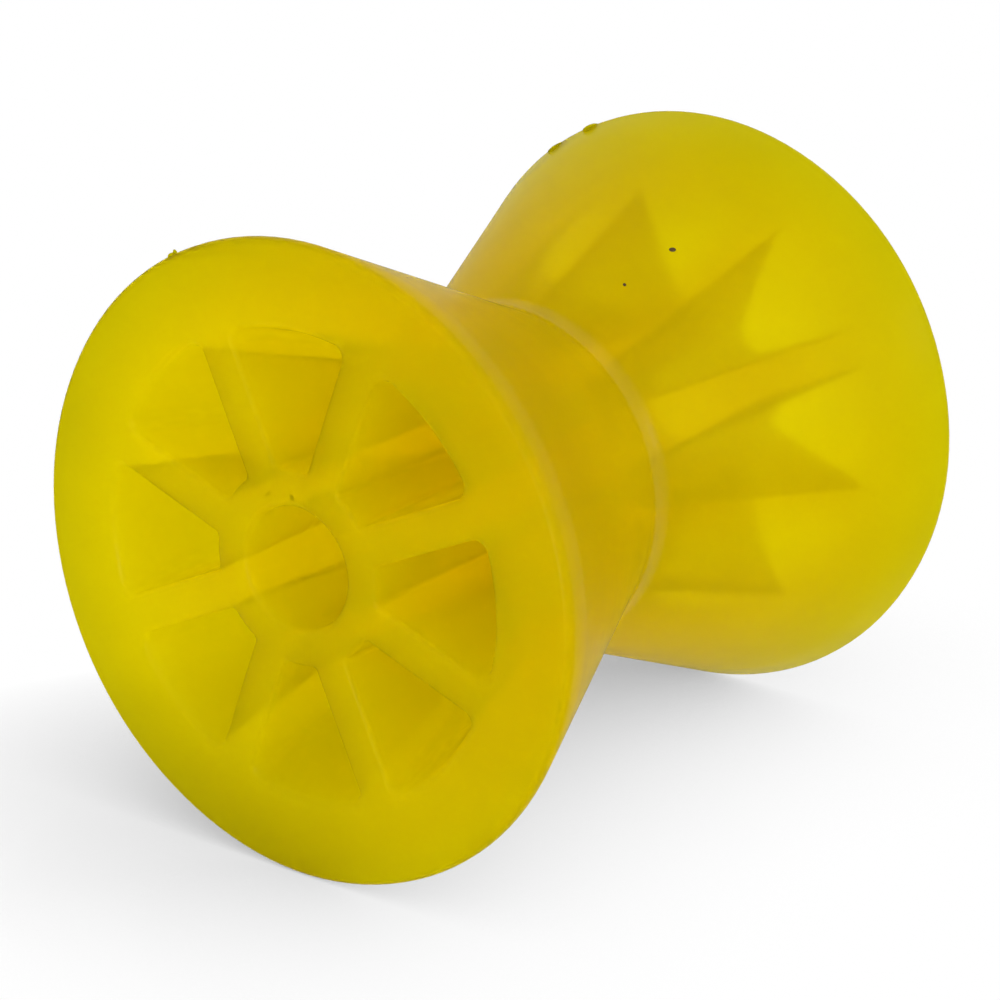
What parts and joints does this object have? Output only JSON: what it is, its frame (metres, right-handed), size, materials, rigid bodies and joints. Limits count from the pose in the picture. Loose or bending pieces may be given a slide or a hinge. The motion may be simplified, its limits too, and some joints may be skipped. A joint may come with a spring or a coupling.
{
  "type": "boat trailer bow roller",
  "caption": "V-shaped moulded roller for a boat trailer's bow stop: two conical flanges meet at a waist, with a plain shaft bore and ribbed pockets in both ends.",
  "frame": {"origin": "centre of the lower end face, on the axis of the shaft bore, where the roller stands on its rim", "axes": "+Z along the shaft bore from the lower end to the upper one; the two ends are alike; +X lies 20.65 degrees from a rib, as the pictured turn of the roller sets it"},
  "size_m": [0.0706, 0.0706, 0.0762],
  "materials": {
    "amber_polymer": "translucent yellow-amber elastomer with a smooth satin gloss"
  },
  "bodies": {
    "root": {"roller": "amber_polymer"}
  },
  "joints": []
}
